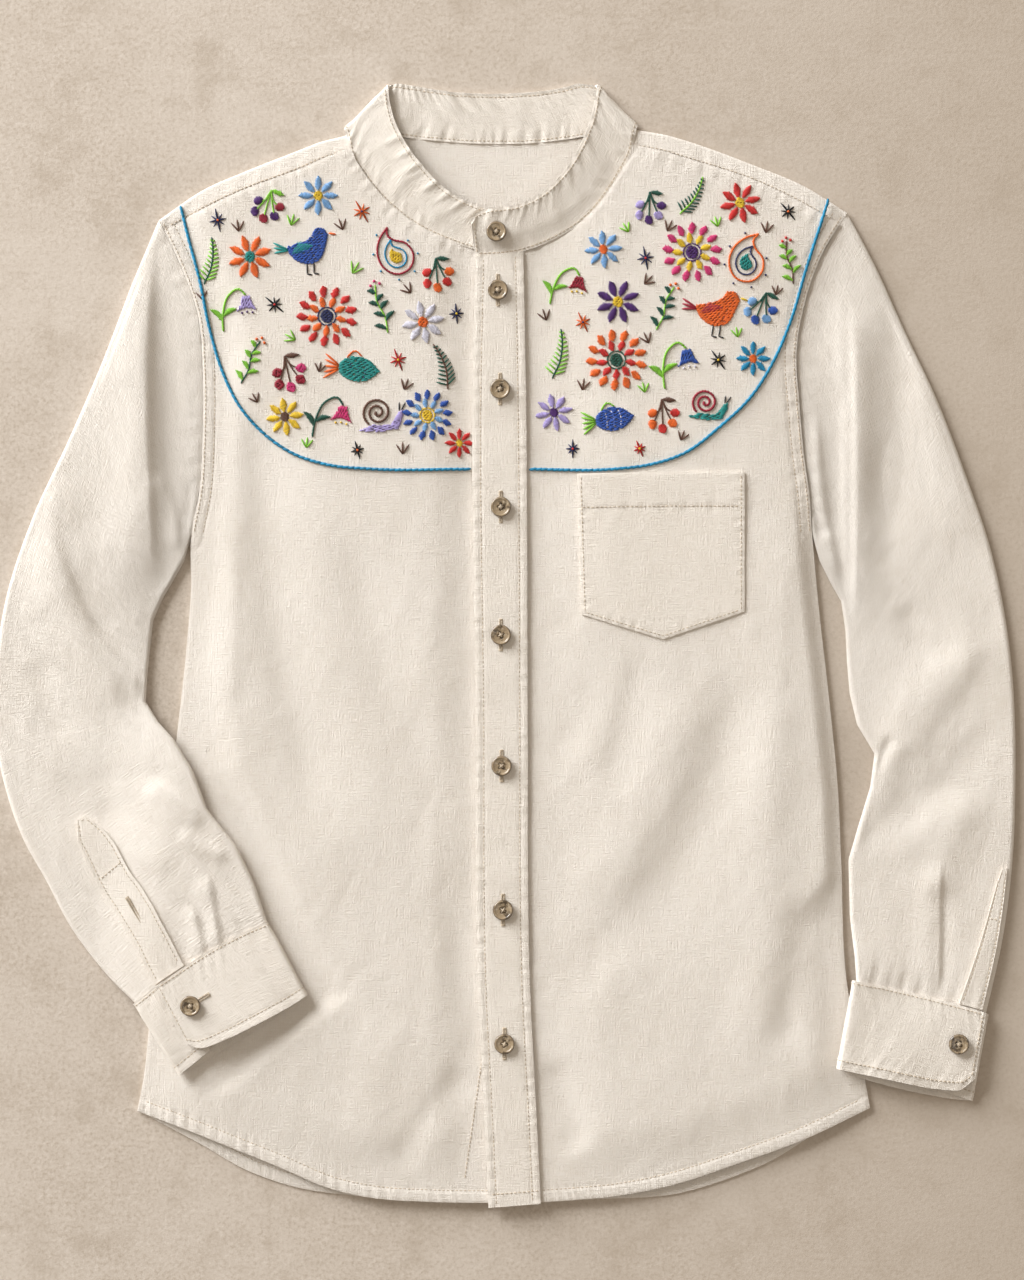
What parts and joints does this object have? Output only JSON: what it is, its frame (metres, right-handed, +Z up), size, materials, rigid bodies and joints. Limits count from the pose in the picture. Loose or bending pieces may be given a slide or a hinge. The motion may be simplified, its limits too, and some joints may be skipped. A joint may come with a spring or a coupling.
{
  "type": "embroidered band-collar shirt, laid flat",
  "caption": "Long-sleeved cotton shirt with a band collar, buttoned placket, chest pocket and an embroidered yoke, laid flat with one forearm folded over the front.",
  "frame": {"origin": "middle of the laid shirt's outline, on the surface it lies on", "axes": "+Z up from the surface, +Y from the hem to the collar, +X towards the wearer's left sleeve"},
  "size_m": [0.7039, 0.774, 0.0188],
  "materials": {
    "cotton": "ivory brushed cotton twill with coloured stranded-thread embroidery across the chest",
    "button": "mottled grey-brown horn-like button with a raised rim"
  },
  "bodies": {
    "root": {"back": "cotton", "yoke": "cotton", "front_right": "cotton", "front_left": "cotton", "placket": "cotton", "pocket": "cotton", "collar_band": "cotton", "sleeve_right": "cotton", "sleeve_left": "cotton", "sleeve_placket_right": "cotton", "sleeve_placket_left": "cotton", "cuff_right": "cotton", "cuff_left": "cotton", "button_front_1": "button", "button_front_2": "button", "button_front_3": "button", "button_front_4": "button", "button_front_5": "button", "button_front_6": "button", "button_front_7": "button", "button_collar": "button", "button_cuff_right": "button", "button_cuff_left": "button"}
  },
  "joints": []
}
